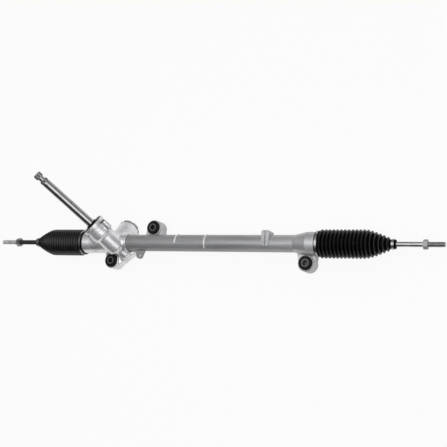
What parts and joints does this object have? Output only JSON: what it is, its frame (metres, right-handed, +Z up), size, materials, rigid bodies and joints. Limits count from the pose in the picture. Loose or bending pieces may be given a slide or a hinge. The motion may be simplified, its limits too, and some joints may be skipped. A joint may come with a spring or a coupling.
{
  "type": "steering rack",
  "caption": "Manual rack-and-pinion steering gear: cast housing on three bushed bolts, slanted input shaft, rubber boots and threaded inner tie rods.",
  "frame": {"origin": "axis of the front mounting bolt at the pinion end, in the plane on which the bush sleeves stand", "axes": "+X along the rack away from the pinion end, +Y towards the steering column side, +Z up along the mounting bolts"},
  "size_m": [1.146, 0.2098, 0.2286],
  "materials": {
    "cast_aluminium": "fine as-cast skin, bright",
    "grey_aluminium": "blasted, dull grey",
    "steel": "turned and ground",
    "zinc_steel": "zinc plated",
    "black_rubber": "moulded, matt",
    "white_plastic": "moulded acetal"
  },
  "bodies": {
    "housing": {"rack_housing": "cast_aluminium", "rack_tube": "grey_aluminium", "middle_bracket": "grey_aluminium", "far_housing": "grey_aluminium", "pinion_cover": "cast_aluminium", "cover_screws": "zinc_steel", "dust_cover": "black_rubber", "pinion_seal": "black_rubber", "bearing_outer_race": "steel", "nose_bearing_cup": "steel", "nose_bearing_needles": "steel", "rack_bush": "white_plastic", "rack_yoke": "cast_aluminium", "yoke_liner": "white_plastic", "yoke_o_ring": "black_rubber", "yoke_spring": "steel", "yoke_plug": "steel", "yoke_lock_nut": "zinc_steel", "mount_rubber_a": "black_rubber", "mount_rubber_b": "black_rubber", "mount_rubber_c": "black_rubber", "mount_sleeve_a": "zinc_steel", "mount_sleeve_b": "zinc_steel", "mount_sleeve_c": "zinc_steel", "boot_left": "black_rubber", "boot_right": "black_rubber", "boot_band_left": "zinc_steel", "boot_band_right": "zinc_steel"},
    "pinion": {"pinion_shaft": "steel", "bearing_inner_race": "steel", "bearing_balls": "steel", "bearing_circlip": "steel"},
    "rack": {"rack_bar": "steel", "inner_socket_left": "steel", "inner_socket_right": "steel", "ball_seat_left": "white_plastic", "ball_seat_right": "white_plastic", "socket_washer_left": "zinc_steel", "socket_washer_right": "zinc_steel"},
    "tie_rod_left": {"tie_rod_left": "steel", "jam_nut_left": "zinc_steel", "boot_clip_left": "zinc_steel"},
    "tie_rod_right": {"tie_rod_right": "steel", "jam_nut_right": "zinc_steel", "boot_clip_right": "zinc_steel"}
  },
  "joints": [
    {"name": "rack_slide", "type": "slide", "parent": "housing", "child": "rack", "axis": [1, 0, 0], "range_m": [-0.085, 0.051], "deforming": ["boot_left", "boot_right"]},
    {"name": "pinion_turn", "type": "hinge", "parent": "housing", "child": "pinion", "pos_m": [0.019, 0.03277, 0.05123], "axis": [-0.5807, 0.5757, 0.5757], "range_deg": [-416, 693]},
    {"name": "tie_rod_left_swing", "type": "hinge", "parent": "rack", "child": "tie_rod_left", "pos_m": [-0.134, 0.044, 0.04], "axis": [0, 1, 0], "range_deg": [-15, 15]},
    {"name": "tie_rod_right_swing", "type": "hinge", "parent": "rack", "child": "tie_rod_right", "pos_m": [0.622, 0.044, 0.04], "axis": [0, 1, 0], "range_deg": [-15, 15]}
  ],
  "couplings": [
    {"joint": "pinion_turn", "follows": "rack_slide", "rad_per_m": -142.2}
  ]
}
